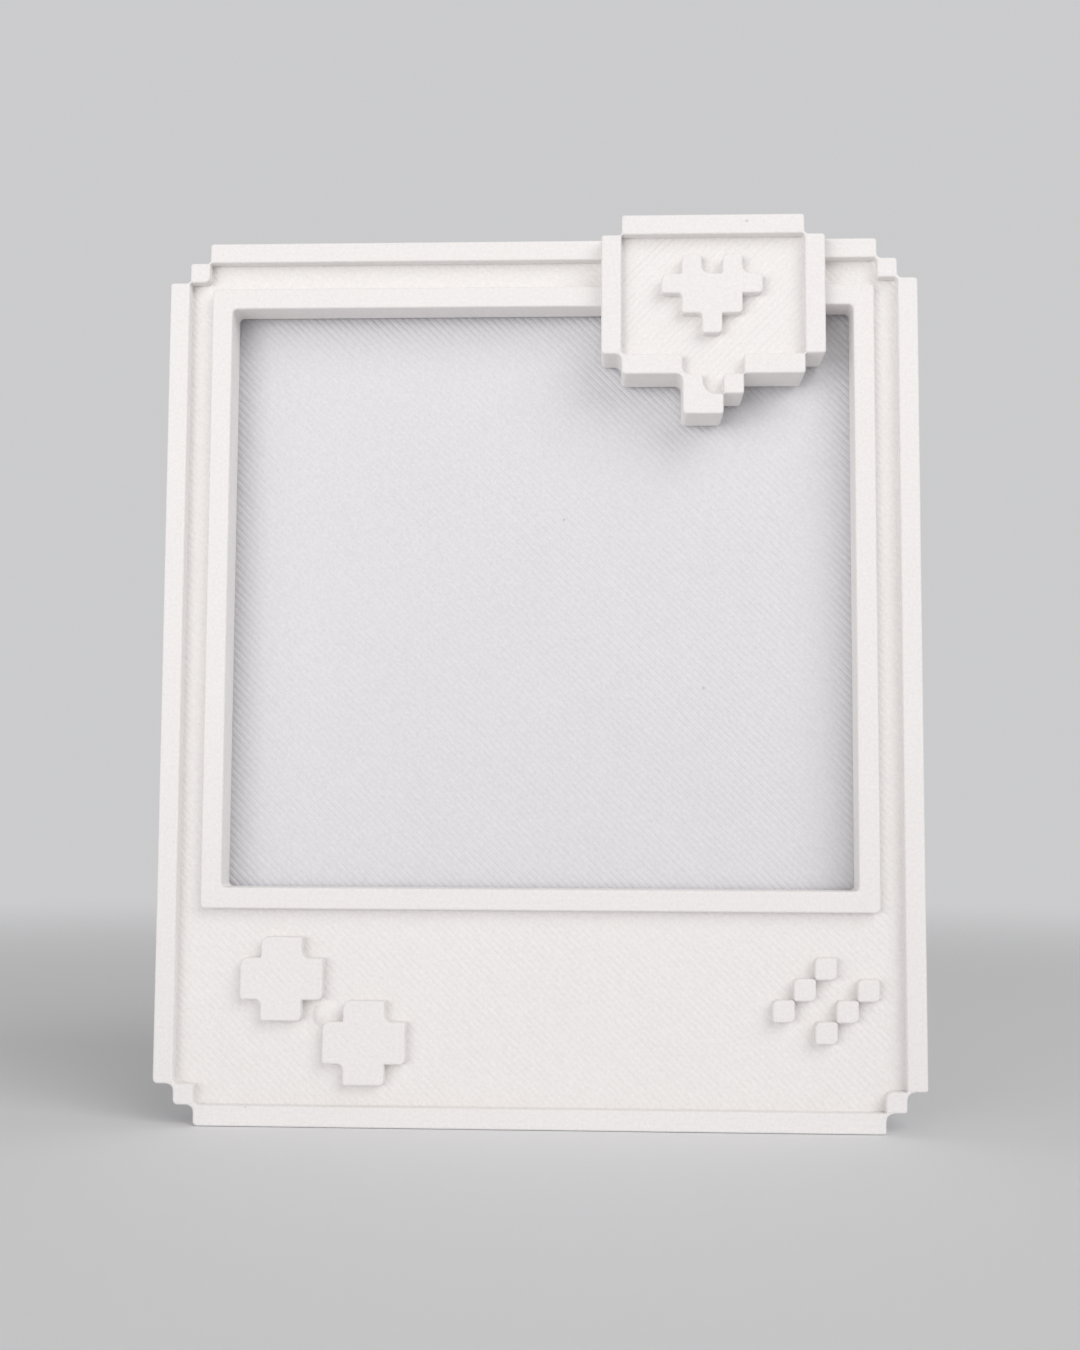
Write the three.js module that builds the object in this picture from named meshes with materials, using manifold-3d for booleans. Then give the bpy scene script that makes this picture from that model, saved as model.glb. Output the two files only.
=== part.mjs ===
// Magnetic photo frame with stepped, pixel-like relief.
// A printed front frame is held by disc magnets on a printed back plate, whose own magnets hold it to steel.
// Drawn as seen from the front: x to the right, y up, z from the plate's rear face to the viewer. Millimetres.
import * as THREE from "three";
import { mergeVertices } from "three/addons/utils/BufferGeometryUtils.js";
import Module from "manifold-3d";

// Outline and borders
const frameWidth = 50.4;
const frameHeight = 59;
const sideBorder = 4.3; // from the outer edge to the window, left and right
const topBorder = 4.55;
const bottomBorder = 15.5;
const bezelWidth = 1.4; // raised band round the window
const pixel = 1.35; // one step of the outline, also the rim's width and the bubble's unit
const cornerSteps = 2; // steps cut from each outer corner
const cornerRadius = 0.28; // rounding that the nozzle leaves on every upright edge
const arcDivisions = 2; // half the number of facets in each rounded corner

// Thicknesses, each from the back face of its own print
const plateThickness = 2;
const channelHeight = 2; // base of the front frame
const reliefHeight = 0.8; // rim, bezel and chin figures over the channel
const bubbleLift = 0.4; // face of the bubble over the rim
const bubbleRelief = 0.8; // outline and heart over the face of the bubble

// Recess for the picture, in the back of the front frame
const recessDepth = 0.4;
const recessOverlap = 1.4; // how far the picture reaches behind the frame on each side of the window

// Figures on the chin and their places
const chinPixel = 1.37;
const buttonsFromLeft = 5.75;
const buttonsFromBottom = 2.8;
const dotSize = 1.45;
const dotsFromRight = 3.05;
const dotsFromBottom = 5.7;

// Speech bubble, placed from the frame's top right
const bubbleFromRight = 6.2;
const bubbleRise = 1.3; // how far it stands above the frame's top edge

// Disc magnets and their pockets
const magnetDiameter = 6;
const magnetThickness = 1;
const magnetChamfer = 0.15;
const magnetSegments = 40;
const pocketClearance = 0.1; // round the magnet
const glueGap = 0.1; // between the magnet and the pocket's floor
const magnetSink = 0.1; // how far the magnet lies below the face that its pocket opens in
const topMagnetDrop = 4.5; // from the frame's top edge to the upper magnets
const bottomMagnetRise = 7; // from the frame's bottom edge to the lower magnets

const cutOver = 1; // how far a cutter reaches past the face that it opens
const rootDepth = 0.5; // how far a relief reaches into what carries it
const weldDistance = 1e-4;

// Pixel figures, one letter for each filled square
const buttonPixels = [".XX.", "XXXX", "XXXX", ".XX."];
const heartPixels = [".X.X.", "XXXXX", ".XXX.", "..X.."];
const bubbleSideRows = 6;
const bubbleLinePixels = [
  ".XXXXXXXXX.",
  ...Array(bubbleSideRows).fill("X.........X"),
  ".XXX...XXX.",
  "....X.X....",
  "....XX.....",
];
const bubbleFacePixels = [
  ".XXXXXXXXX.",
  ...Array(bubbleSideRows).fill("XXXXXXXXXXX"),
  ".XXXXXXXXX.",
  "....XXX....",
  "....XX.....",
];
const heartColumn = 3; // column and row of the bubble where the heart starts
const heartRow = 2;

// Places of the dots, in steps from the lower left of their block
const dotPlaces = [
  [0, 1],
  [1, 2],
  [2, 3],
  [2, 0],
  [3, 1],
  [4, 2],
];
const dotColumns = 1 + Math.max(...dotPlaces.map(([column]) => column));

// Worked out from the sizes above
const left = -frameWidth / 2;
const right = frameWidth / 2;
const bottom = -frameHeight / 2;
const top = frameHeight / 2;
const rimHeight = channelHeight + reliefHeight;
const bubbleFaceHeight = rimHeight + bubbleLift;
const bubbleHeight = bubbleFaceHeight + bubbleRelief;
const bubbleLeft = right - bubbleFromRight - bubbleFacePixels[0].length * pixel;
const bubbleTop = top + bubbleRise;
const bubbleCentreX = (bubbleLeft + right - bubbleFromRight) / 2;
const pocketDepth = magnetSink + magnetThickness + glueGap;
const bubblePocketDepth = recessDepth + pocketDepth;
const topMagnetY = top - topMagnetDrop;
const bottomMagnetY = bottom + bottomMagnetRise;

const wasm = await Module();
wasm.setup();

// Corners of a rectangle, anticlockwise, grown by a margin on every side
function rectangle(x0, y0, x1, y1, margin = 0) {
  return [
    new THREE.Vector2(x0 - margin, y0 - margin),
    new THREE.Vector2(x1 + margin, y0 - margin),
    new THREE.Vector2(x1 + margin, y1 + margin),
    new THREE.Vector2(x0 - margin, y1 + margin),
  ];
}

// The frame's rectangle, inset by a margin, with stairs cut from its corners
function stairOutline(margin, steps) {
  const stairs = [];
  for (let i = 0; i < steps; i++) {
    stairs.push([steps - i, i], [steps - i, i + 1]);
  }
  stairs.push([0, steps]);
  const corner = (x, y, toX, toY) =>
    stairs.map(([across, up]) => new THREE.Vector2(x + toX * across * pixel, y + toY * up * pixel));
  return [
    ...corner(left + margin, bottom + margin, 1, 1).reverse(),
    ...corner(right - margin, bottom + margin, -1, 1),
    ...corner(right - margin, top - margin, -1, -1).reverse(),
    ...corner(left + margin, top - margin, 1, -1),
  ];
}

// Outlines of the figures in a pixel drawing, anticlockwise; squares that meet only at a corner stay apart
function pixelOutlines(drawing, x, y, unit) {
  const filled = (column, row) => drawing[row]?.[column] === "X";
  const edges = new Map();
  const addEdge = (column, row, dx, dy) => edges.set([column, row, dx, dy].join(), { column, row, dx, dy });
  drawing.forEach((line, row) =>
    [...line].forEach((_, column) => {
      if (!filled(column, row)) return;
      if (!filled(column, row + 1)) addEdge(column, row + 1, 1, 0);
      if (!filled(column + 1, row)) addEdge(column + 1, row + 1, 0, -1);
      if (!filled(column, row - 1)) addEdge(column + 1, row, -1, 0);
      if (!filled(column - 1, row)) addEdge(column, row, 0, 1);
    }),
  );
  const outlines = [];
  while (edges.size) {
    const corners = [];
    const first = edges.values().next().value;
    let edge = first;
    while (edge) {
      const { column, row, dx, dy } = edge;
      edges.delete([column, row, dx, dy].join());
      const turns = [
        [dy, -dx],
        [dx, dy],
        [-dy, dx],
      ];
      const ways = turns.map(([nextX, nextY]) => edges.get([column + dx, row + dy, nextX, nextY].join()));
      edge = ways.find(Boolean);
      if ((edge ?? first).dx !== dx) {
        corners.push(new THREE.Vector2(x + (column + dx) * unit, y - (row + dy) * unit));
      }
    }
    outlines.push(corners);
  }
  return outlines;
}

// A shape with right-angled corners, each rounded by an arc
function roundedShape(corners, radius = cornerRadius) {
  const shape = new THREE.Shape();
  corners.forEach((corner, i) => {
    const back = corners.at(i - 1).clone().sub(corner).setLength(radius);
    const ahead = corners[(i + 1) % corners.length].clone().sub(corner).setLength(radius);
    const centre = corner.clone().add(back).add(ahead);
    const start = ahead.clone().negate().angle();
    const end = back.clone().negate().angle();
    shape.absarc(centre.x, centre.y, radius, start, end, back.cross(ahead) > 0);
  });
  shape.closePath();
  return shape;
}

function withHole(shape, hole) {
  shape.holes.push(hole);
  return shape;
}

function solidFrom(geometry) {
  geometry.deleteAttribute("normal");
  geometry.deleteAttribute("uv");
  const merged = mergeVertices(geometry, weldDistance);
  return new wasm.Manifold(
    new wasm.Mesh({
      numProp: 3,
      vertProperties: merged.attributes.position.array,
      triVerts: new Uint32Array(merged.index.array),
    }),
  );
}

// A shape raised from one height to another
function slab(shape, from, to) {
  const settings = { depth: to - from, bevelEnabled: false, curveSegments: arcDivisions };
  return solidFrom(new THREE.ExtrudeGeometry(shape, settings).translate(0, 0, from));
}

// A blind round pocket for a magnet, open at height 0
function pocket(x, y, depth) {
  const radius = magnetDiameter / 2 + pocketClearance;
  const cutter = new THREE.CylinderGeometry(radius, radius, depth + cutOver, magnetSegments);
  return solidFrom(cutter.rotateX(Math.PI / 2).translate(x, y, (depth - cutOver) / 2));
}

function sum(solids) {
  return solids.reduce((joined, solid) => joined.add(solid));
}

function meshFrom(name, solid, material) {
  const { vertProperties, triVerts } = solid.getMesh();
  const geometry = new THREE.BufferGeometry();
  geometry.setAttribute("position", new THREE.BufferAttribute(vertProperties, 3));
  geometry.setIndex(new THREE.BufferAttribute(triVerts, 1));
  const mesh = new THREE.Mesh(geometry, material);
  mesh.name = name;
  return mesh;
}

function plastic(color) {
  return new THREE.MeshStandardMaterial({ color, roughness: 0.6, metalness: 0, flatShading: true });
}

function nickel() {
  return new THREE.MeshStandardMaterial({ color: 0xc4c2bc, roughness: 0.28, metalness: 1 });
}

// The front print: a blank with a window, its channel cut away, and the figures raised on it
function frontFrame() {
  const windowCorners = [left + sideBorder, bottom + bottomBorder, right - sideBorder, top - topBorder];
  const windowShape = roundedShape(rectangle(...windowCorners));
  const bezelShape = roundedShape(rectangle(...windowCorners, bezelWidth));
  const recessShape = roundedShape(rectangle(...windowCorners, recessOverlap));
  const channelShape = withHole(roundedShape(stairOutline(pixel, cornerSteps - 1)), bezelShape);
  const blank = slab(withHole(roundedShape(stairOutline(0, cornerSteps)), windowShape), 0, rimHeight);
  const channel = slab(channelShape, channelHeight, rimHeight + cutOver);

  const raise = (outline, from, to) => slab(roundedShape(outline), from - rootDepth, to);
  const figures = [...buttonOutlines(), ...dotOutlines()].map((outline) =>
    raise(outline, channelHeight, rimHeight),
  );
  const bubbleOutlines = pixelOutlines(bubbleFacePixels, bubbleLeft, bubbleTop, pixel);
  const bubble = bubbleOutlines.map((outline) => slab(roundedShape(outline), 0, bubbleFaceHeight));
  const heartLeft = bubbleLeft + heartColumn * pixel;
  const heartTop = bubbleTop - heartRow * pixel;
  const bubbleFigures = [
    ...pixelOutlines(bubbleLinePixels, bubbleLeft, bubbleTop, pixel),
    ...pixelOutlines(heartPixels, heartLeft, heartTop, pixel),
  ].map((outline) => raise(outline, bubbleFaceHeight, bubbleHeight));

  const cuts = [
    slab(recessShape, -cutOver, recessDepth),
    pocket(-bubbleCentreX, bottomMagnetY, pocketDepth),
    pocket(bubbleCentreX, bottomMagnetY, pocketDepth),
    pocket(bubbleCentreX, topMagnetY, bubblePocketDepth),
  ];
  return sum([blank.subtract(channel), ...figures, ...bubble, ...bubbleFigures]).subtract(sum(cuts));
}

// Two stepped round buttons, the upper one a button's width to the left
function buttonOutlines() {
  const span = buttonPixels.length;
  const lowerLeft = left + buttonsFromLeft + span * chinPixel;
  const lowerTop = bottom + buttonsFromBottom + span * chinPixel;
  const upperTop = lowerTop + (span - 1) * chinPixel;
  return [
    ...pixelOutlines(buttonPixels, lowerLeft, lowerTop, chinPixel),
    ...pixelOutlines(buttonPixels, left + buttonsFromLeft, upperTop, chinPixel),
  ];
}

// Six square dots in two slanting rows
function dotOutlines() {
  const margin = (dotSize - chinPixel) / 2;
  const blockLeft = right - dotsFromRight - dotColumns * chinPixel;
  const blockBottom = bottom + dotsFromBottom;
  return dotPlaces.map(([column, row]) => {
    const x = blockLeft + column * chinPixel;
    const y = blockBottom + row * chinPixel;
    return rectangle(x, y, x + chinPixel, y + chinPixel, margin);
  });
}

function backPlate() {
  const pockets = [-bubbleCentreX, bubbleCentreX].flatMap((x) =>
    [bottomMagnetY, topMagnetY].map((y) => pocket(x, y, pocketDepth)),
  );
  return slab(roundedShape(stairOutline(0, cornerSteps)), 0, plateThickness).subtract(sum(pockets));
}

// A disc magnet with broken edges, standing on height 0
function magnetSolid() {
  const radius = magnetDiameter / 2;
  const profile = [
    [0, 0],
    [radius - magnetChamfer, 0],
    [radius, magnetChamfer],
    [radius, magnetThickness - magnetChamfer],
    [radius - magnetChamfer, magnetThickness],
    [0, magnetThickness],
  ].map(([r, z]) => new THREE.Vector2(r, z));
  return solidFrom(new THREE.LatheGeometry(profile, magnetSegments).rotateX(Math.PI / 2));
}

function magnet(name, x, y, z) {
  const mesh = meshFrom(name, magnetSolid(), nickel());
  mesh.position.set(x, y, z);
  return mesh;
}

const back = new THREE.Group();
back.add(
  meshFrom("back_plate", backPlate(), plastic(0xe3e4e8)),
  magnet("plate_magnet_bottom_left", -bubbleCentreX, bottomMagnetY, magnetSink),
  magnet("plate_magnet_bottom_right", bubbleCentreX, bottomMagnetY, magnetSink),
  magnet("plate_magnet_top_left", -bubbleCentreX, topMagnetY, magnetSink),
  magnet("plate_magnet_top_right", bubbleCentreX, topMagnetY, magnetSink),
);

const front = new THREE.Group();
front.position.z = plateThickness;
front.add(
  meshFrom("front_frame", frontFrame(), plastic(0xf0edeb)),
  magnet("frame_magnet_chin_left", -bubbleCentreX, bottomMagnetY, magnetSink),
  magnet("frame_magnet_chin_right", bubbleCentreX, bottomMagnetY, magnetSink),
  magnet("frame_magnet_bubble", bubbleCentreX, topMagnetY, recessDepth + magnetSink),
);

// Stood upright: the front looks along -Y, the plate's rear face lies on Y = 0
const photoFrame = new THREE.Group();
photoFrame.rotation.x = Math.PI / 2;
photoFrame.add(back, front);

export default photoFrame;
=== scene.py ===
import math

import bmesh
import bpy
import numpy as np
from mathutils.geometry import delaunay_2d_cdt
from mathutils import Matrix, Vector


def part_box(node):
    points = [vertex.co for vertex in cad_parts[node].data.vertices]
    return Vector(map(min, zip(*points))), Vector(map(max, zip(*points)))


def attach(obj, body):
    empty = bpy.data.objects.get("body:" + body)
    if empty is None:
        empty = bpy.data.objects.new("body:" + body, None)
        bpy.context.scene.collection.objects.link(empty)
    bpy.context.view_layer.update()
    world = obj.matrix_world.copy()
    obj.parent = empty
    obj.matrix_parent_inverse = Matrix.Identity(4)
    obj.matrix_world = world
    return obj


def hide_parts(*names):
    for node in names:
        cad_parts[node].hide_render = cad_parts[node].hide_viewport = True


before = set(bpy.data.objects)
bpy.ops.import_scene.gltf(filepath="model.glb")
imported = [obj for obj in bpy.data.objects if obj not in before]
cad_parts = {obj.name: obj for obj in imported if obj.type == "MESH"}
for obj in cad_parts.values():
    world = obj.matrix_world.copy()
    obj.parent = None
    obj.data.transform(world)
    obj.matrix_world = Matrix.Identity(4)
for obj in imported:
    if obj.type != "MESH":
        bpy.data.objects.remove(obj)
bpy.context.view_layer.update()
scene = bpy.context.scene

# Shapes are drawn in millimetres as seen from the front: x to the right, up, and out from the rear face
# of the plate.
mm = 0.001
tiny = 1e-6               # points closer than this are one
plateLow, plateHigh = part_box("back_plate")
frontLow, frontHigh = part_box("front_frame")
right = plateHigh.x / mm
top = plateHigh.z / mm
plateOut = -plateLow.y / mm
bubbleOut = -frontLow.y / mm
bubbleTop = frontHigh.z / mm

# How the printer lays its plastic
printer = dict(
    layer=0.2,            # height of one layer
    layerGroove=0.028,    # how far a wall draws in between two layers
    bead=0.39,            # pitch of the slanting lines
    beadGroove=0.024,     # how far a line falls off at its edges
    beadSpread=0.003,     # how much one line stands higher than the next
    beadUnder=0.34,       # how far lines run in under the loops round them
    beadSink=0.01,        # how far lines lie below those loops
    beadShortest=1e-3,    # shorter lines are left out
    loop=0.42,            # width of the loops that follow an outline
    loopGroove=0.009,
    loopStep=0.125,       # share of a loop between two points of its section
    shoulder=0.13,        # rounding of a top edge
    belowShoulder=0.01,   # room between a shoulder and the next points of the wall and of the top
    pastShoulder=0.03,
    convex=0.18,          # rounding of an upright edge that stands out
    outer=dict(upperLeft=0.2, upperRight=0.24, lowerLeft=0.32, lowerRight=0.18),      # on the outline
    concave=dict(upperLeft=0.16, upperRight=0.26, lowerLeft=0.44, lowerRight=0.54),   # where it lies in
    least=0.03,           # smallest rounding
    arcSteps=6,           # points on a rounding, and along an edge
    edgeSteps=6,
    smoothBelow=40,       # degrees between faces that are shaded as one
)
layer = printer["layer"]
quarter = np.linspace(0, np.pi / 2, printer["arcSteps"])
beadShares = np.array([0.0, 0.1, 0.28, 0.5, 0.72, 0.9])
layerShares = np.array([0.0, 0.2, 0.5, 0.8])
lifts = dict(seed=11, count=1024)
rng = np.random.default_rng(lifts["seed"])
beadLift = rng.normal(0, printer["beadSpread"], lifts["count"])

# Levels of the relief above the plate, all whole layers
relief = dict(recess=0.4, channel=2.0, rim=2.8, face=3.2)
recessOut = plateOut + relief["recess"]
channelOut = plateOut + relief["channel"]
rimOut = plateOut + relief["rim"]
faceOut = plateOut + relief["face"]

pixel = 1.35              # step of the outline, width of the rim, unit of the bubble
chinPixel = 1.37          # unit of the figures on the chin
stairSteps = 2
window = dict(side=4.3, top=4.55, bottom=15.5, bezel=1.4)


# From x, up and out in millimetres to Blender's axes in metres
def toWorld(points):
    return np.stack([points[..., 0], -points[..., 2], points[..., 1]], -1) * mm


# Flat loops lifted to their heights, one height for each loop
def atHeight(loops, heights):
    heights = np.asarray(heights, float)[..., None, None]
    return np.concatenate([loops, np.broadcast_to(heights, loops.shape[:-1] + (1,))], -1)


def rectCorners(x0, y0, x1, y1):
    return np.array([[x0, y0], [x1, y0], [x1, y1], [x0, y1]], float)


def grown(box, margin):
    return box + margin * np.array([-1, -1, 1, 1])


# Corners of the frame's rectangle with stairs cut out, anticlockwise
def stairCorners():
    stair = [(0, stairSteps)]
    for i in reversed(range(stairSteps)):
        stair += [(stairSteps - i, i + 1), (stairSteps - i, i)]
    stair = np.array(stair, float) * pixel
    lowerLeft = stair + [-right, -top]
    lowerRight = (stair * [-1, 1] + [right, -top])[::-1]
    return np.concatenate([lowerLeft, lowerRight, -lowerLeft, -lowerRight])


# Outlines of the figures in a pixel drawing, anticlockwise; squares that meet at a corner only stay apart
def pixelCorners(rows, x, y, unit):
    filled = {(c, r) for r, row in enumerate(rows) for c, mark in enumerate(row) if mark == "X"}
    edges = {}
    for c, r in sorted(filled):
        sides = [((c, r + 1), (1, 0)), ((c + 1, r), (0, -1)), ((c, r - 1), (-1, 0)), ((c - 1, r), (0, 1))]
        starts = [(c, r + 1), (c + 1, r + 1), (c + 1, r), (c, r)]
        for (neighbour, way), start in zip(sides, starts):
            if neighbour not in filled:
                edges[start, way] = True
    outlines = []
    while edges:
        first = edge = next(iter(edges))
        corners = []
        while edge:
            (c, r), (dx, dy) = edge
            del edges[edge]
            at = (c + dx, r + dy)
            turns = [(at, way) for way in ((dy, -dx), (dx, dy), (-dy, dx))]
            edge = next((turn for turn in turns if turn in edges), None)
            if (edge or first)[1] != (dx, dy):
                corners.append((x + at[0] * unit, y - at[1] * unit))
        outlines.append(np.array(corners))
    return outlines


# Edges that lead to each corner and away from it
def edgesAt(corners):
    before = corners - np.roll(corners, 1, 0)
    return before, np.roll(before, -1, 0)


def isConvex(corners):
    before, after = edgesAt(corners)
    return before[:, 0] * after[:, 1] - before[:, 1] * after[:, 0] > 0


# Loops round a right-angled outline. At inset d a corner moves in by d from both its edges and turns on a
# quarter circle: centre + r (before sin t - after cos t), with the directions before and after the corner.
def loopsRound(corners, insets, radii, edgeSteps=printer["edgeSteps"]):
    before, after = [edge / np.linalg.norm(edge, axis=1)[:, None] for edge in edgesAt(corners)]
    inward = np.stack([-before[:, 1] - after[:, 1], before[:, 0] + after[:, 0]], -1)
    radii = radii[..., None]
    centre = corners + insets[:, None, None] * inward + radii * (after - before)
    turn = quarter[:, None]
    spokes = -after[:, None] * np.cos(turn) + before[:, None] * np.sin(turn)
    arcs = centre[:, :, None] + radii[:, :, None] * spokes
    share = (np.arange(1, edgeSteps + 1) / (edgeSteps + 1))[:, None]
    edges = arcs[:, :, -1:] * (1 - share) + np.roll(arcs[:, :, :1], -1, 1) * share
    return np.concatenate([arcs, edges], 2).reshape(len(insets), -1, 2)


# One radius for all corners, or one for each by the way it points: out of the plastic, or into the open
# where it lies in
def byWay(corners, radius):
    if not isinstance(radius, dict):
        return np.broadcast_to(radius, len(corners))
    before, after = edgesAt(corners)
    way = np.where(isConvex(corners)[:, None], 1, -1) * np.sign(before - after)
    names = np.array([["lowerLeft", "lowerRight"], ["upperLeft", "upperRight"]])
    named = names[(way[:, 1] > 0).astype(int), (way[:, 0] > 0).astype(int)]
    return np.array([radius[name] for name in named])


# Radii of the figures' convex corners: small where the corners of two figures meet, and by the way elsewhere
def outerRadii(outlines):
    every = np.concatenate(outlines)
    radii = []
    for corners in outlines:
        here = np.linalg.norm(corners[:, None] - every, axis=2) < tiny
        radii.append(np.where(here.sum(1) == 1, byWay(corners, printer["outer"]), printer["convex"]))
    return radii


# Corner radii at each inset: a corner that stands out sharpens inwards, and one that lies in opens as far
# as the shoulder
def cornerRadii(corners, insets, convex=printer["convex"], concave=printer["concave"]):
    outward = np.maximum(byWay(corners, convex) - insets[:, None], printer["least"])
    inward = byWay(corners, concave) + np.minimum(insets, printer["shoulder"])[:, None]
    return np.where(isConvex(corners), outward, inward)


# A rectangle as one loop with round corners
def roundedRect(box):
    corners = rectCorners(*box)
    still = np.zeros(1)
    return loopsRound(corners, still, cornerRadii(corners, still))[0]


# A wall from low to high, as inset and height: each layer bulges to the face and draws in where two layers
# meet, inset = groove |2 s - 1|^3 with s the share of the layer, and the last one turns over a round
# shoulder unless more layers follow.
def wallProfile(low, high, rounded=True):
    layers = int(round((high - low) / layer))
    heights = low + layer * (np.arange(layers)[:, None] + layerShares)
    insets = np.broadcast_to(printer["layerGroove"] * abs(2 * layerShares - 1) ** 3, heights.shape)
    if not rounded:
        return np.append(insets, printer["layerGroove"]), np.append(heights, high)
    below = heights < high - printer["shoulder"] - printer["belowShoulder"]
    shoulderInset = printer["shoulder"] * (1 - np.cos(quarter))
    shoulderOut = high - printer["shoulder"] * (1 - np.sin(quarter))
    return np.append(insets[below], shoulderInset), np.append(heights[below], shoulderOut)


# Loops across a top, as inset and height: each is a low crown, height = -groove |2 s - 1|^3 with s the
# share of the loop
def topProfile(high, width, end):
    shares = np.arange(0, end / width, printer["loopStep"])
    insets = shares * width
    heights = high - printer["loopGroove"] * abs(2 * (shares % 1) - 1) ** 3
    past = insets > printer["shoulder"] + printer["pastShoulder"]
    return np.append(insets[past], end), np.append(heights[past], heights[-1])


# Quads from each ring to the next. The first and last ring get a face each, unless they stay open or the
# rings close on themselves.
def sweep(rings, capped=True, closed=False):
    count, size = rings.shape[:2]
    ring = np.arange(count if closed else count - 1)[:, None]
    following = (ring + 1) % count
    step = np.arange(size)
    beside = (step + 1) % size
    quads = np.broadcast_arrays(ring * size + step, ring * size + beside,
                                following * size + beside, following * size + step)
    faces = np.stack(quads, -1).reshape(-1, 4).tolist()
    if capped and not closed:
        faces.append(list(range(size))[::-1])
        faces.append(list(range((count - 1) * size, count * size)))
    return turnedOut(rings.reshape(-1, 3), faces)


# Turns a closed patch inside out if its volume comes out negative
def turnedOut(points, faces):
    tris = np.array([(f[0], f[n], f[n + 1]) for f in faces for n in range(1, len(f) - 1)])
    corners = points[tris]
    volume = (corners[:, 0] * np.cross(corners[:, 1], corners[:, 2])).sum()
    return points, [f[::-1] for f in faces] if volume < 0 else faces


# A straight wall along a loop
def tube(loop, low, high, capped):
    return sweep(np.stack([atHeight(loop, low), atHeight(loop, high)]), capped)


# A figure that stands on a face: wall, shoulder and printed loops, carried along its outline
def pad(corners, low, high, width, end, sink=0.0, edgeSteps=printer["edgeSteps"], rounded=True, **radii):
    wallIn, wallUp = wallProfile(low, high, rounded)
    topIn, topUp = topProfile(high, width, end)
    insets = np.concatenate([wallIn, topIn])
    heights = np.concatenate([wallUp, topUp])
    if sink:
        insets = np.append(insets, end)
        heights = np.append(heights, high - sink)
    loops = loopsRound(corners, insets, cornerRadii(corners, insets, **radii), edgeSteps)
    return sweep(atHeight(loops, heights))


# Slanting lines laid side by side over rectangles: along each line nothing changes, and across them
# height = -groove |2 s - 1|^3 with s the share of the line's pitch. The rectangles' edges cut them off.
def beadSheet(rects, slant, low, high, groove=printer["beadGroove"]):
    pitch = printer["bead"]
    diagonal = math.sqrt(2)
    fall = groove * abs(2 * beadShares - 1) ** 3
    patches = []
    for x0, y0, x1, y1 in rects:
        ends = np.array([x0 - slant * y0, x0 - slant * y1, x1 - slant * y0, x1 - slant * y1]) / diagonal
        index = np.arange(math.floor(ends.min() / pitch), math.ceil(ends.max() / pitch))
        offset = ((index[:, None] + beadShares) * pitch * diagonal).ravel()
        height = (high + beadLift[index % len(beadLift)][:, None] - fall).ravel()
        start = np.maximum(x0, offset + slant * (y0 if slant > 0 else y1))
        stop = np.minimum(x1, offset + slant * (y1 if slant > 0 else y0))
        kept = stop - start > printer["beadShortest"]
        start, stop, offset, height = start[kept], stop[kept], offset[kept], height[kept]
        startUp, stopUp = slant * (start - offset), slant * (stop - offset)
        floor = np.full_like(height, low)
        rings = np.stack([
            np.stack([start, startUp, floor], -1),
            np.stack([start, startUp, height], -1),
            np.stack([stop, stopUp, height], -1),
            np.stack([stop, stopUp, floor], -1),
        ], 1)
        patches.append(sweep(rings))
    return [joinPatches(patches)]


# One patch from patches of quads that lie side by side: points in one place become one, and walls that
# stand back to back both go
def joinPatches(patches):
    starts = np.cumsum([0] + [len(points) for points, _ in patches[:-1]])
    points = np.concatenate([points for points, _ in patches])
    quads = np.concatenate([np.array(faces) + start for (_, faces), start in zip(patches, starts)])
    _, first, same = np.unique((points / tiny).round(), axis=0, return_index=True, return_inverse=True)
    quads = same.ravel()[quads]
    _, kind, count = np.unique(np.sort(quads, 1), axis=0, return_inverse=True, return_counts=True)
    return points[first], quads[count[kind.ravel()] == 1].tolist()


# A flat face between an outline and the hole in it: triangles of both outlines' points that lie in the
# first alone
def fillBetween(outline, hole, height):
    flat = np.concatenate([outline, hole])
    rings = [list(range(len(outline))), list(range(len(outline), len(flat)))]
    insideOnly = 1
    _, _, triangles, sources, _, within = delaunay_2d_cdt(flat.tolist(), [], rings, insideOnly, tiny)
    kept = [[sources[v][0] for v in t] for t, ringsRound in zip(triangles, within) if ringsRound == [0]]
    return atHeight(flat, height), kept


# Patches as one object on its body; weld is the distance in metres within which points are merged
def makePiece(name, patches, material, body, slot, replaced, weld=None):
    points, faces, count = [], [], 0
    for patchPoints, patchFaces in patches:
        points.append(patchPoints)
        faces += [[v + count for v in f] for f in patchFaces]
        count += len(patchPoints)
    mesh = bpy.data.meshes.new(name)
    mesh.from_pydata(toWorld(np.concatenate(points)).tolist(), [], faces)
    if weld:
        work = bmesh.new()
        work.from_mesh(mesh)
        bmesh.ops.remove_doubles(work, verts=work.verts, dist=weld)
        bmesh.ops.recalc_face_normals(work, faces=work.faces)
        work.to_mesh(mesh)
        work.free()
    mesh.validate()
    mesh.shade_smooth()
    mesh.set_sharp_from_angle(angle=math.radians(printer["smoothBelow"]))
    mesh.materials.append(material)
    piece = bpy.data.objects.new(name, mesh)
    scene.collection.objects.link(piece)
    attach(piece, body)
    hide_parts(replaced)
    return piece


# Materials

def newMaterial(name):
    material = bpy.data.materials.new(name)
    material.use_nodes = True
    return material, material.node_tree, material.node_tree.nodes["Principled BSDF"]


def addNode(tree, kind, at, **settings):
    node = tree.nodes.new(kind)
    node.location = at
    for key, value in settings.items():
        setattr(node, key, value)
    return node


def fillSocket(tree, socket, value):
    if isinstance(value, bpy.types.NodeSocket):
        tree.links.new(value, socket)
    else:
        socket.default_value = value


def mathNode(tree, operation, at, *values):
    node = addNode(tree, "ShaderNodeMath", at, operation=operation)
    for socket, value in zip(node.inputs, values):
        fillSocket(tree, socket, value)
    return node.outputs["Value"]


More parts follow.
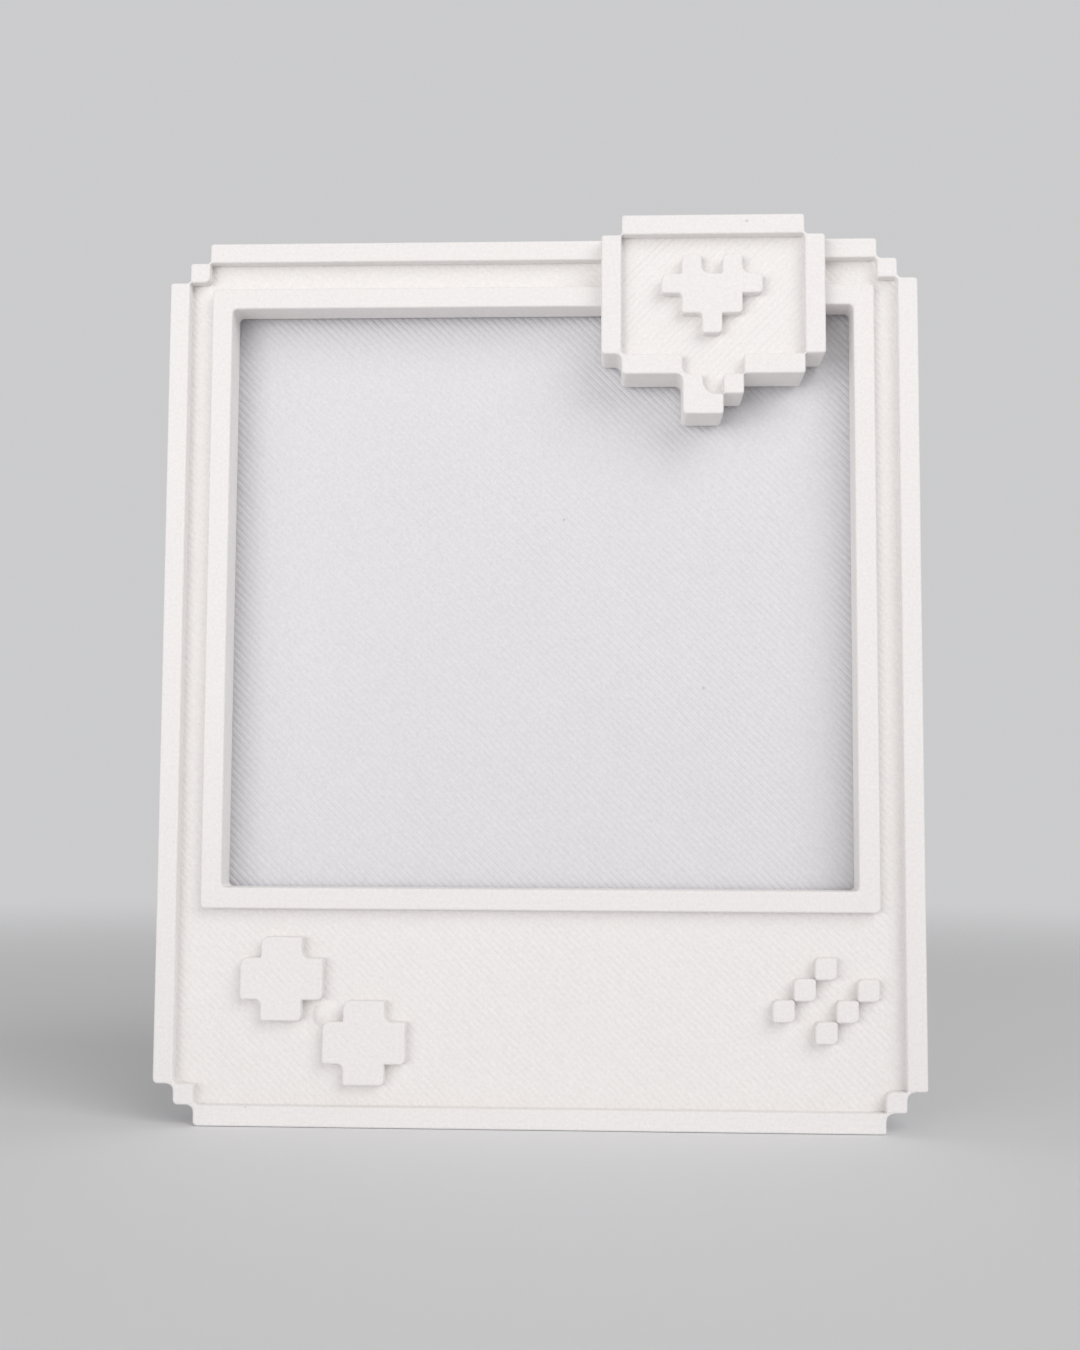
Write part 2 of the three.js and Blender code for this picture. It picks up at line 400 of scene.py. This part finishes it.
def noiseFrom(tree, coords, at, scale, detail):
    noise = addNode(tree, "ShaderNodeTexNoise", at)
    noise.inputs["Scale"].default_value = scale
    noise.inputs["Detail"].default_value = detail
    tree.links.new(coords, noise.inputs["Vector"])
    return noise.outputs["Fac"]


def mapRange(tree, source, at, span, result=(0, 1), **settings):
    node = addNode(tree, "ShaderNodeMapRange", at, **settings)
    for key, value in zip(("From Min", "From Max", "To Min", "To Max"), (*span, *result)):
        node.inputs[key].default_value = value
    tree.links.new(source, node.inputs["Value"])
    return node.outputs["Result"]


def mixTones(tree, at, share, first, second):
    node = addNode(tree, "ShaderNodeMix", at, data_type="RGBA")
    fillSocket(tree, node.inputs["Factor"], share)
    fillSocket(tree, node.inputs["A"], first)
    fillSocket(tree, node.inputs["B"], second)
    return node.outputs["Result"]


def addBump(tree, shader, height, at, strength, depth):
    bump = addNode(tree, "ShaderNodeBump", at)
    bump.inputs["Strength"].default_value = strength
    bump.inputs["Distance"].default_value = depth
    tree.links.new(height, bump.inputs["Height"])
    tree.links.new(bump.outputs["Normal"], shader.inputs["Normal"])


framePlastic = dict(
    name="warm_white_print",
    light=(0.9, 0.872, 0.86, 1),
    dark=(0.83, 0.802, 0.79, 1),
    # tone of dust specks, and the tone that the rear faces' grooves are painted towards as painted shade
    speckAndGrooveShade=(0.66, 0.64, 0.63, 1),
)
platePlastic = dict(
    name="cool_white_print",
    light=(0.785, 0.772, 0.797, 1),
    dark=(0.715, 0.702, 0.727, 1),
    # tone of dust specks, and the tone that the rear faces' grooves are painted towards as painted shade
    speckAndGrooveShade=(0.56, 0.55, 0.57, 1),
)

# What both plastics share
surface = dict(
    cloud=dict(scale=160, detail=4),
    cloudWeight=0.15,
    mottle=dict(scale=5200, detail=2),
    toneSpan=(0.335, 0.815),      # the stretch of cloud and mottle that goes from dark to light
    speckScale=210,
    speckSpan=(0.012, 0.03),      # distance from a speck's middle over which it fades
    gloss=dict(scale=2600, detail=2),
    glossSpan=(0.3, 0.7),
    roughness=(0.48, 0.62),
    grain=dict(scale=9000, detail=3),
    bump=dict(strength=0.6, depth=0.00002),
    specular=0.4,
)

# Faces that lay on the printer's bed: flat lines with narrow grooves. Depth is a share of the grain's height,
# shade is how far the grooves are painted darker towards the speck's tone (painted shade), and facing is how
# straight such a face looks to the rear.
bedSide = dict(attribute="bedSide", depth=0.8, shade=0.3, sharp=10, facing=0.99)


# Grooves between the first layer's lines: |cos(pi d / pitch)|^sharp at the distance d across them
def bedLines(tree, coords):
    across = addNode(tree, "ShaderNodeVectorMath", (-1000, -750), operation="DOT_PRODUCT")
    across.inputs[1].default_value = np.array([1, 0, 1]) * math.pi / (printer["bead"] * mm * math.sqrt(2))
    tree.links.new(coords, across.inputs[0])
    wave = mathNode(tree, "COSINE", (-850, -750), across.outputs["Value"])
    size = mathNode(tree, "ABSOLUTE", (-700, -750), wave)
    groove = mathNode(tree, "POWER", (-550, -750), size, bedSide["sharp"])
    marked = addNode(tree, "ShaderNodeAttribute", (-700, -950), attribute_name=bedSide["attribute"])
    return mathNode(tree, "MULTIPLY", (-400, -750), groove, marked.outputs["Fac"])


# White printed plastic: cloudy tone, fine grain in gloss and surface, a few specks of dust, and painted
# shade in the grooves of the faces that lay on the bed
def printedPlastic(look):
    material, tree, shader = newMaterial(look["name"])
    coords = addNode(tree, "ShaderNodeTexCoord", (-1200, 0)).outputs["Object"]

    cloud = noiseFrom(tree, coords, (-1000, 300), **surface["cloud"])
    mottle = noiseFrom(tree, coords, (-1000, 550), **surface["mottle"])
    both = mathNode(tree, "MULTIPLY_ADD", (-900, 300), cloud, surface["cloudWeight"], mottle)
    toneShare = mapRange(tree, both, (-800, 300), surface["toneSpan"])
    tone = mixTones(tree, (-600, 300), toneShare, look["dark"], look["light"])

    cells = addNode(tree, "ShaderNodeTexVoronoi", (-1000, 0))
    cells.inputs["Scale"].default_value = surface["speckScale"]
    tree.links.new(coords, cells.inputs["Vector"])
    speckShare = mapRange(tree, cells.outputs["Distance"], (-800, 0), surface["speckSpan"], (1, 0))
    lines = bedLines(tree, coords)
    # painted shade: the grooves of the faces that lay on the bed are painted darker towards the speck's tone,
    # on top of the dust specks
    speckOrGrooveShade = mathNode(tree, "MULTIPLY_ADD", (-600, 0), lines, bedSide["shade"], speckShare)
    speckedAndGrooveShaded = mixTones(tree, (-400, 200), speckOrGrooveShade, tone, look["speckAndGrooveShade"])
    tree.links.new(speckedAndGrooveShaded, shader.inputs["Base Color"])

    gloss = noiseFrom(tree, coords, (-1000, -250), **surface["gloss"])
    rough = mapRange(tree, gloss, (-800, -250), surface["glossSpan"], surface["roughness"])
    tree.links.new(rough, shader.inputs["Roughness"])

    grain = noiseFrom(tree, coords, (-1000, -500), **surface["grain"])
    height = mathNode(tree, "MULTIPLY_ADD", (-400, -500), lines, -bedSide["depth"], grain)
    addBump(tree, shader, height, (-250, -400), **surface["bump"])
    shader.inputs["Specular IOR Level"].default_value = surface["specular"]
    return material


nickelPlate = dict(
    name="satin_nickel",
    light=(0.74, 0.725, 0.69, 1),
    dark=(0.60, 0.585, 0.55, 1),
    patch=dict(scale=420, detail=5),
    scuff=dict(scale=3000, detail=4),
    scuffSpan=(0.3, 0.7),
    roughness=(0.2, 0.38),
    bump=dict(strength=0.2, depth=0.00002),
)


# Satin nickel: brushed lightly by tumbling, with dull patches
def nickelPlating(look):
    material, tree, shader = newMaterial(look["name"])
    shader.inputs["Metallic"].default_value = 1.0
    coords = addNode(tree, "ShaderNodeTexCoord", (-1000, 0)).outputs["Object"]
    patch = noiseFrom(tree, coords, (-800, 200), **look["patch"])
    tone = mixTones(tree, (-400, 200), patch, look["dark"], look["light"])
    tree.links.new(tone, shader.inputs["Base Color"])
    scuff = noiseFrom(tree, coords, (-800, -100), **look["scuff"])
    rough = mapRange(tree, scuff, (-600, -100), look["scuffSpan"], look["roughness"])
    tree.links.new(rough, shader.inputs["Roughness"])
    addBump(tree, shader, scuff, (-400, -300), **look["bump"])
    return material


frameWhite = printedPlastic(framePlastic)
plateWhite = printedPlastic(platePlastic)
nickel = nickelPlating(nickelPlate)
print("materials made")


def frontPiece(name, patches, **extra):
    return makePiece(name, patches, frameWhite, "front", "frame_plastic", "front_frame", **extra)


windowBox = np.array([
    -right + window["side"], -top + window["bottom"], right - window["side"], top - window["top"],
])
bezelBox = grown(windowBox, window["bezel"])

# Base of the front print: outer wall, recess for the picture behind the window, and a hole under the bezel
base = dict(holeInset=0.6, edgeSteps=16, weld=1e-7)


def frontBase():
    outer = stairCorners()
    wallIn, wallUp = wallProfile(plateOut, channelOut - layer, rounded=False)
    loops = loopsRound(outer, wallIn, cornerRadii(outer, wallIn, printer["outer"]), base["edgeSteps"])
    recess = roundedRect(bezelBox)
    hole = roundedRect(grown(bezelBox, -base["holeInset"]))
    return [
        sweep(atHeight(loops, wallUp), capped=False),
        fillBetween(loops[0], recess, wallUp[0]),
        tube(recess, wallUp[0], recessOut, capped=False),
        fillBetween(recess, hole, recessOut),
        tube(hole, recessOut, wallUp[-1], capped=False),
        fillBetween(loops[-1], hole, wallUp[-1]),
    ]


frontBasePiece = frontPiece("frame_base", frontBase(), weld=base["weld"])

# Floor of the channel and the chin: one layer of slanting lines that runs in under the rim and the bezel
channel = dict(underRim=0.5, underBezel=0.6)


def channelRects():
    reach = channel["underRim"] * pixel
    x0, y0, x1, y1 = grown(bezelBox, -channel["underBezel"])
    rows = [(2 * pixel + reach, reach, pixel), (pixel + reach, pixel, 2 * pixel)]
    rects = []
    for side, low, high in rows:
        rects.append((-right + side, -top + low, right - side, -top + high))
        rects.append((-right + side, top - high, right - side, top - low))
    rects.append((-right + reach, -top + 2 * pixel, right - reach, y0))
    rects.append((-right + reach, y1, right - reach, top - 2 * pixel))
    rects.append((-right + reach, y0, x0, y1))
    rects.append((x1, y0, right - reach, y1))
    return rects


frontPiece("channel_floor", beadSheet(channelRects(), -1, channelOut - layer, channelOut))

# Rim: four bars and four corner blocks, fused where their corners meet
rim = dict(
    loop=0.45,
    end=0.625,            # how far in from the edge the loops go
    barSteps=40,
    # the blocks' edges in the channel, and the hollows beside them
    inner=dict(upperLeft=0.4, upperRight=0.15, lowerLeft=0.1, lowerRight=0.43),
    web=dict(upperLeft=0.08, upperRight=0.2, lowerLeft=0.42, lowerRight=0.06),
)
necks = dict(sink=0.03, reach=0.3, narrowing=0.45, steps=7)


def rimPatches():
    low, high = channelOut - layer, rimOut
    bars = [
        rectCorners(-right + 2 * pixel, top - pixel, right - 2 * pixel, top),
        rectCorners(-right + 2 * pixel, -top, right - 2 * pixel, -top + pixel),
        rectCorners(-right, -top + 2 * pixel, -right + pixel, top - 2 * pixel),
        rectCorners(right - pixel, -top + 2 * pixel, right, top - 2 * pixel),
    ]
    ways = [("upperLeft", -1, 1), ("upperRight", 1, 1), ("lowerLeft", -1, -1), ("lowerRight", 1, -1)]
    middles = [np.array([x * (right - 1.5 * pixel), y * (top - 1.5 * pixel)]) for _, x, y in ways]
    blocks = [rectCorners(*(middle - pixel / 2), *(middle + pixel / 2)) for middle in middles]
    radii = outerRadii(bars + blocks)
    patches = []
    for bar, convex in zip(bars, radii):
        patches.append(pad(bar, low, high, rim["loop"], rim["end"], edgeSteps=rim["barSteps"], convex=convex))
    for (name, x, y), middle, block, convex in zip(ways, middles, blocks, radii[len(bars):]):
        convex = np.where(((block - middle) * [x, y] < 0).all(1), rim["inner"][name], convex)
        patches.append(pad(block, low, high, rim["loop"], rim["end"], convex=convex))
        outer, inner = printer["concave"][name], rim["web"][name]
        upper, lower = (outer, inner) if y > 0 else (inner, outer)
        patches.append(neck(x * (right - 2 * pixel), y * (top - pixel), -x * y, low, high, upper, lower))
        patches.append(neck(x * (right - pixel), y * (top - 2 * pixel), -x * y, low, high, upper, lower))
    return patches


# The web between two squares that meet at a corner: hollow quarter circles above and below, back to back,
# with ends inside the squares. Lean is 1 where these lie lower left and upper right, and else -1.
def neck(x, y, lean, low, high, upper, lower):
    turn = np.linspace(0, np.pi / 2, necks["steps"])
    hollow = np.stack([1 - np.sin(turn), 1 - np.cos(turn)], -1)
    inside = necks["reach"] * np.array([[-1, 1]])
    outline = np.concatenate([hollow * upper, inside, -hollow * lower, -inside])
    middle = np.array([x, y])
    outline = outline * [-lean, 1] + middle
    wallIn, wallUp = wallProfile(low, high - necks["sink"])
    shrink = 1 - wallIn[:, None, None] / necks["narrowing"]
    return sweep(atHeight(middle + (outline - middle) * shrink, wallUp))


frontPiece("rim", rimPatches())

# Bezel: a closed ring whose inner wall is the wall of the window
bezel = dict(outerRadius=0.28, innerRadius=0.32, loops=3, edgeSteps=40)


def bezelPatch():
    width = window["bezel"]
    outIn, outUp = wallProfile(channelOut - layer, rimOut)
    topEnd = width - printer["shoulder"] - printer["pastShoulder"]
    topIn, topUp = topProfile(rimOut, width / bezel["loops"], topEnd)
    inIn, inUp = wallProfile(recessOut, rimOut)
    insets = np.concatenate([outIn, topIn[:-1], (width - inIn)[::-1], [base["holeInset"]] * 2])
    heights = np.concatenate([outUp, topUp[:-1], inUp[::-1], [recessOut, channelOut - layer]])
    corners = rectCorners(*bezelBox)
    radii = np.interp(insets, [0, width], [bezel["outerRadius"], bezel["innerRadius"]])
    loops = loopsRound(corners, insets, np.repeat(radii[:, None], len(corners), 1), bezel["edgeSteps"])
    return sweep(atHeight(loops, heights), closed=True)


bezelPiece = frontPiece("bezel", [bezelPatch()])
print("frame, channel, rim and bezel made")

# Chin figures: two stepped round buttons and six dots
buttons = dict(
    rows=[".XX.", "XXXX", "XXXX", ".XX."],
    fromLeft=5.64,
    fromBottom=2.7,
    loops=2,
    sink=0.03,
    convex=dict(upperLeft=0.5, upperRight=0.18, lowerLeft=0.2, lowerRight=0.34),
    concave=dict(upperLeft=0.12, upperRight=0.42, lowerLeft=0.36, lowerRight=0.08),
)
dots = dict(
    size=1.45,
    fromRight=3.05,
    fromBottom=5.7,
    places=[(0, 1), (1, 2), (2, 3), (2, 0), (3, 1), (4, 2)],     # column and row of each
    loops=1.5,            # from the edge to the middle
    flat=0.05,            # left in the middle
    convex=dict(upperLeft=0.36, upperRight=0.2, lowerLeft=0.2, lowerRight=0.38),
)


def buttonPatches():
    span = len(buttons["rows"])
    low, high = channelOut - layer, rimOut
    lowerLeft = -right + buttons["fromLeft"] + span * chinPixel
    lowerTop = -top + buttons["fromBottom"] + span * chinPixel
    places = [(lowerLeft, lowerTop), (lowerLeft - span * chinPixel, lowerTop + (span - 1) * chinPixel)]
    end = buttons["loops"] * printer["loop"]
    unit, margin = chinPixel, end - printer["beadUnder"]
    patches = []
    for x, y in places:
        corners = pixelCorners(buttons["rows"], x, y, unit)[0]
        patches.append(pad(corners, low, high, printer["loop"], end, buttons["sink"],
                           convex=buttons["convex"], concave=buttons["concave"]))
        rects = [
            (x + margin, y - 3 * unit + margin, x + 4 * unit - margin, y - unit - margin),
            (x + unit + margin, y - unit - margin, x + 3 * unit - margin, y - margin),
            (x + unit + margin, y - 4 * unit + margin, x + 3 * unit - margin, y - 3 * unit + margin),
        ]
        patches += beadSheet(rects, -1, high - layer, high - printer["beadSink"])
    return patches


def dotPatches():
    columns = 1 + max(column for column, _ in dots["places"])
    x0 = right - dots["fromRight"] - (columns - 0.5) * chinPixel
    y0 = -top + dots["fromBottom"] + 0.5 * chinPixel
    half = dots["size"] / 2
    patches = []
    for column, row in dots["places"]:
        x, y = x0 + column * chinPixel, y0 + row * chinPixel
        corners = rectCorners(x - half, y - half, x + half, y + half)
        patches.append(pad(corners, channelOut - layer, rimOut, half / dots["loops"], half - dots["flat"],
                           convex=dots["convex"]))
    return patches


# Plastic that oozed between the buttons: over an oval, height = rise (1 - q^power) at the share q of its
# reach, and the oval is steeper on its left
ooze = dict(
    x=-13.85,
    up=-22.35,
    across=1.0,
    along=0.97,
    rise=0.4,
    power=1.3,
    steep=0.56,
    tip=0.02,             # share of the reach where the top closes
    sink=0.02,            # how far its edge lies below the floor
    rings=14,
    spokes=48,
)


def oozePatch():
    q = np.linspace(1, ooze["tip"], ooze["rings"])[:, None]
    turn = np.linspace(0, 2 * np.pi, ooze["spokes"], endpoint=False)
    x = ooze["x"] + ooze["across"] * (q * np.cos(turn) - ooze["steep"] * (1 - q))
    up = ooze["up"] + ooze["along"] * q * np.sin(turn)
    out = channelOut - ooze["sink"] + ooze["rise"] * (1 - q ** ooze["power"])
    rings = np.stack(np.broadcast_arrays(x, up, out), -1)
    foot = rings[:1] - [0, 0, layer / 2]
    return sweep(np.concatenate([foot, rings]))


frontPiece("buttons", buttonPatches())
frontPiece("dots", dotPatches())
frontPiece("ooze", [oozePatch()])

# Speech bubble: a thick slab, its face of slanting lines, a raised line round it and a heart
bubble = dict(
    fromRight=6.27,
    sideRows=6,
    rootRows=3,           # rows of the slab that go back to the plate
    hair=0.01,
    groove=0.032,
    loop=0.45,
    end=0.625,
    lineSteps=12,
    tail=0.85,            # rounding of the hollow in the line's tail
    concave=dict(upperLeft=0.12, upperRight=0.2, lowerLeft=0.4, lowerRight=0.08),
    heart=[".X.X.", "XXXXX", ".XXX.", "..X.."],
    heartAt=(2.95, 1.97),
    heartConvex=dict(upperLeft=0.44, upperRight=0.3, lowerLeft=0.18, lowerRight=0.28),
    heartConcave=dict(upperLeft=0.08, upperRight=0.55, lowerLeft=0.24, lowerRight=0.08),
)
bubble["line"] = [
    ".XXXXXXXXX.",
    *["X.........X"] * bubble["sideRows"],
    ".XXX...XXX.",
    "....X.X....",
    "....XX.....",
]
bubble["face"] = [
    ".XXXXXXXXX.",
    *["XXXXXXXXXXX"] * bubble["sideRows"],
    ".XXXXXXXXX.",
    "....XXX....",
    "....XX.....",
]
# what the slanting lines cover, in squares from the upper left: left, top, right and bottom
bubble["sheet"] = [
    (0.5, 1, 10.5, 7),
    (1.5, 0.5, 9.5, 1),
    (1.5, 7, 9.5, 7.5),
    (3.6, 7.5, 7.4, 8),
    (4.5, 8, 6.5, 8.88),
    (4.5, 8.88, 5.88, 9.4),
]
# where the line's squares meet: column, row, lean, and rounding of the hollows above and below
bubble["meetings"] = [
    (1, 1, 1, 0.12, 0.06),
    (10, 1, -1, 0.2, 0.15),
    (1, 7, -1, 0.2, 0.38),
    (10, 7, 1, 0.06, 0.08),
    (4, 8, -1, 0.4, 0.42),
    (7, 8, 1, 0.06, 0.08),
    (6, 9, 1, 0.05, 0.06),
]
bubbleLeft = right - bubble["fromRight"] - len(bubble["face"][0]) * pixel


def bubbleSlab(rows, low, high):
    corners = pixelCorners(rows, bubbleLeft, bubbleTop, pixel)[0]
    return [pad(corners, low, high, bubble["loop"], bubble["end"], rounded=False,
                convex=printer["outer"], concave=bubble["concave"])]


def bubbleFace():
    x, y = bubbleLeft, bubbleTop
    rects = [(x + x0 * pixel, y - y1 * pixel, x + x1 * pixel, y - y0 * pixel)
             for x0, y0, x1, y1 in bubble["sheet"]]
    return beadSheet(rects, 1, faceOut - layer, faceOut, bubble["groove"])


def bubbleLine():
    low, high = faceOut - layer, bubbleOut
    outlines = pixelCorners(bubble["line"], bubbleLeft, bubbleTop, pixel)
    patches = []
    for corners, convex in zip(outlines, outerRadii(outlines)):
        patches.append(pad(corners, low, high, bubble["loop"], bubble["end"], edgeSteps=bubble["lineSteps"],
                           convex=convex, concave=bubble["tail"]))
    for column, row, lean, upper, lower in bubble["meetings"]:
        x, y = bubbleLeft + column * pixel, bubbleTop - row * pixel
        patches.append(neck(x, y, lean, low, high, upper, lower))
    return patches


def heartPatches():
    column, row = bubble["heartAt"]
    x, y = bubbleLeft + column * pixel, bubbleTop - row * pixel
    corners = pixelCorners(bubble["heart"], x, y, pixel)[0]
    return [pad(corners, faceOut - layer, bubbleOut, bubble["loop"], bubble["end"],
                convex=bubble["heartConvex"], concave=bubble["heartConcave"])]


# both start a hair inside the frame's rear faces, so that no two faces lie in one plane there
slabLow, rootLow = recessOut + bubble["hair"], plateOut + bubble["hair"]
rootRows = bubble["face"][:bubble["rootRows"]]
bubbleSlabPiece = frontPiece("bubble_slab", bubbleSlab(bubble["face"], slabLow, faceOut - layer))
bubbleRootPiece = frontPiece("bubble_root", bubbleSlab(rootRows, rootLow, slabLow))
frontPiece("bubble_face", bubbleFace())
frontPiece("bubble_line", bubbleLine())
frontPiece("heart", heartPatches())
print("chin figures and bubble made")

# Back plate: two printed loops round its edge and slanting lines inside them
plate = dict(loops=2, sink=0.1, edgeSteps=16, groove=0.032)
plateEnd = plate["loops"] * printer["loop"]


def platePatches():
    return [pad(stairCorners(), 0, plateOut, printer["loop"], plateEnd, plate["sink"],
                edgeSteps=plate["edgeSteps"], convex=printer["outer"])]


def plateFace():
    margin = plateEnd - printer["beadUnder"]
    w, h = right - margin, top - margin
    rows = [(2 * pixel, 0, pixel), (pixel, pixel, 2 * pixel)]
    rects = [(-w, -h + 2 * pixel, w, h - 2 * pixel)]
    for side, low, high in rows:
        rects.append((-w + side, -h + low, w - side, -h + high))
        rects.append((-w + side, h - high, w - side, h - low))
    return beadSheet(rects, -1, plateOut - layer, plateOut - printer["beadSink"], plate["groove"])


def backPiece(name, patches):
    return makePiece(name, patches, plateWhite, "back", "plate_plastic", "back_plate")


platePiece = backPiece("plate", platePatches())
backPiece("plate_face", plateFace())
print("back plate made")

# Disc magnets, turned smooth in the places of the frame's own
magnets = dict(round=0.16, segments=96, cap=0.4)
magnetNodes = dict(
    back=["plate_magnet_" + place for place in ("bottom_left", "bottom_right", "top_left", "top_right")],
    front=["frame_magnet_" + place for place in ("chin_left", "chin_right", "bubble")],
)


# Middle, radius and rear and front face of a magnet's solid
def discSize(node):
    low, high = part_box(node)
    x, up = (low.x + high.x) / 2 / mm, (low.z + high.z) / 2 / mm
    return x, up, (high.x - low.x) / 2 / mm, -high.y / mm, -low.y / mm


# A disc turned about its axis: radius and height go round a quarter circle at both edges, and the flat
# faces have a cap in the middle
def magnetPatch(node):
    x, up, radius, near, far = discSize(node)
    r, cap = magnets["round"], [radius * magnets["cap"]]
    swell, rise = r * np.sin(quarter), r * np.cos(quarter)
    radii = np.concatenate([cap, radius - r + swell, radius - r + rise, cap])[:, None]
    heights = np.concatenate([[near], near + r - rise, far - r + swell, [far]])
    turn = np.linspace(0, 2 * np.pi, magnets["segments"], endpoint=False)
    loops = np.stack([x + radii * np.cos(turn), up + radii * np.sin(turn)], -1)
    return sweep(atHeight(loops, heights))


for body, nodes in magnetNodes.items():
    for node in nodes:
        makePiece(node + "_disc", [magnetPatch(node)], nickel, body, "magnet_nickel", node)
print("magnets made")

# Pockets for the magnets, cut by a plain cylinder from the face that each opens in
pockets = dict(clearance=0.1, glue=0.1, over=1.0, segments=72)


def cutPockets(piece, nodes, opens):
    turn = np.linspace(0, 2 * np.pi, pockets["segments"], endpoint=False)
    for node in nodes:
        x, up, radius, _, far = discSize(node)
        radius += pockets["clearance"]
        circle = np.stack([x + radius * np.cos(turn), up + radius * np.sin(turn)], -1)
        points, faces = tube(circle, opens - pockets["over"], far + pockets["glue"], capped=True)
        mesh = bpy.data.meshes.new("pocket_cutter")
        mesh.from_pydata(toWorld(points).tolist(), [], faces)
        cutter = bpy.data.objects.new("pocket_cutter", mesh)
        scene.collection.objects.link(cutter)
        cut = piece.modifiers.new("pocket", "BOOLEAN")
        cut.operation = "DIFFERENCE"
        cut.solver = "EXACT"
        cut.object = cutter
        bpy.context.view_layer.update()
        done = bpy.data.meshes.new_from_object(piece.evaluated_get(bpy.context.evaluated_depsgraph_get()))
        piece.modifiers.clear()
        piece.data = done
        bpy.data.objects.remove(cutter)


cutPockets(frontBasePiece, magnetNodes["front"], plateOut)
for piece in (bezelPiece, bubbleSlabPiece, bubbleRootPiece):
    cutPockets(piece, ["frame_magnet_bubble"], plateOut)
cutPockets(platePiece, magnetNodes["back"], 0)


# Marks the faces that look straight to the rear, along Blender's y
def markBedSide(piece):
    normals = np.empty(len(piece.data.polygons) * 3, np.float32)
    piece.data.polygons.foreach_get("normal", normals)
    marks = piece.data.attributes.new(bedSide["attribute"], "FLOAT", "FACE")
    marks.data.foreach_set("value", (normals[1::3] > bedSide["facing"]).astype(np.float32))


for piece in (frontBasePiece, bubbleSlabPiece, bubbleRootPiece, bezelPiece, platePiece):
    markBedSide(piece)
print("pockets cut and rear faces marked")

# Stage, in metres: a pale floor that fades into the background, soft light and the camera
stage = dict(
    floorHalf=1.2,
    drop=0.00002,         # how far the floor lies below the frame
    floorTone=(0.86, 0.86, 0.87, 1),
    roughness=0.8,
    specular=0.1,
    fade=(0.1, 0.3),      # distances from the middle where the floor starts and ends to fade
    background=(0.6, 0.6, 0.61, 1),
)


def makeFloor():
    half = stage["floorHalf"]
    corners = atHeight(rectCorners(-half, -half, half, half), plateLow.z - stage["drop"])
    mesh = bpy.data.meshes.new("floor")
    mesh.from_pydata(corners.tolist(), [], [(0, 1, 2, 3)])
    material, tree, shader = newMaterial("pale_floor")
    shader.inputs["Base Color"].default_value = stage["floorTone"]
    shader.inputs["Roughness"].default_value = stage["roughness"]
    shader.inputs["Specular IOR Level"].default_value = stage["specular"]
    coords = addNode(tree, "ShaderNodeTexCoord", (-900, 300))
    length = addNode(tree, "ShaderNodeVectorMath", (-700, 300), operation="LENGTH")
    tree.links.new(coords.outputs["Object"], length.inputs[0])
    distance = length.outputs["Value"]
    fade = mapRange(tree, distance, (-500, 300), stage["fade"], interpolation_type="SMOOTHSTEP")
    clear = addNode(tree, "ShaderNodeBsdfTransparent", (-300, 200))
    blend = addNode(tree, "ShaderNodeMixShader", (0, 300))
    tree.links.new(fade, blend.inputs["Fac"])
    tree.links.new(shader.outputs["BSDF"], blend.inputs[1])
    tree.links.new(clear.outputs["BSDF"], blend.inputs[2])
    tree.links.new(blend.outputs["Shader"], tree.nodes["Material Output"].inputs["Surface"])
    mesh.materials.append(material)
    floor = bpy.data.objects.new("floor", mesh)
    scene.collection.objects.link(floor)


light = dict(world=0.375, lamps=[
    dict(name="right", at=(0.417, -0.553, 0.4), size=0.7, power=2.7),
    dict(name="left", at=(-0.338, -0.725, 0.0), size=0.45, power=1.98),
    dict(name="far_left", at=(-0.595, -0.535, 0.0), size=0.45, power=0.76),
])


# White light from all round, which the camera, gloss and glass see as the background's tone
def makeWorld():
    world = bpy.data.worlds.new("studio")
    scene.world = world
    world.use_nodes = True
    tree = world.node_tree
    shade = tree.nodes["Background"]
    shade.inputs["Color"].default_value = (1, 1, 1, 1)
    shade.inputs["Strength"].default_value = light["world"]
    seen = addNode(tree, "ShaderNodeBackground", (0, -200))
    seen.inputs["Color"].default_value = stage["background"]
    path = addNode(tree, "ShaderNodeLightPath", (-400, 400)).outputs
    direct = mathNode(tree, "MAXIMUM", (-200, 400), path["Is Camera Ray"], path["Is Glossy Ray"])
    shown = mathNode(tree, "MAXIMUM", (0, 400), direct, path["Is Transmission Ray"])
    mix = addNode(tree, "ShaderNodeMixShader", (200, 0))
    tree.links.new(shown, mix.inputs["Fac"])
    tree.links.new(shade.outputs["Background"], mix.inputs[1])
    tree.links.new(seen.outputs["Background"], mix.inputs[2])
    tree.links.new(mix.outputs["Shader"], tree.nodes["World Output"].inputs["Surface"])


# Round lamps that look at the origin
def makeLamps():
    for lamp in light["lamps"]:
        data = bpy.data.lights.new(lamp["name"], "AREA")
        data.shape = "DISK"
        data.size = lamp["size"]
        data.energy = lamp["power"]
        item = bpy.data.objects.new(lamp["name"], data)
        scene.collection.objects.link(item)
        item.location = lamp["at"]
        item.visible_camera = False
        item.rotation_euler = (-item.location).to_track_quat("-Z", "Y").to_euler()


# The photograph's camera, in metres and degrees, for a picture of 1080 by 1350
view = dict(
    eye=(0.00488, -0.1158, -0.00894),
    pitch=4.64,
    yaw=2.45,
    roll=0.29,
    focalPixels=1686,
    longSide=1350,
    sensor=36,
    nearest=0.002,
    farthest=10,
)


def makeCamera():
    data = bpy.data.cameras.new("camera")
    data.sensor_width = view["sensor"]
    data.lens = view["focalPixels"] * view["sensor"] / view["longSide"]
    data.clip_start = view["nearest"]
    data.clip_end = view["farthest"]
    camera = bpy.data.objects.new("camera", data)
    scene.collection.objects.link(camera)
    camera.location = view["eye"]
    camera.rotation_euler = [math.radians(a) for a in (90 + view["pitch"], -view["roll"], view["yaw"])]
    scene.camera = camera


makeFloor()
makeWorld()
makeLamps()
makeCamera()
scene.view_settings.view_transform = "Standard"
print("stage, light and camera set")
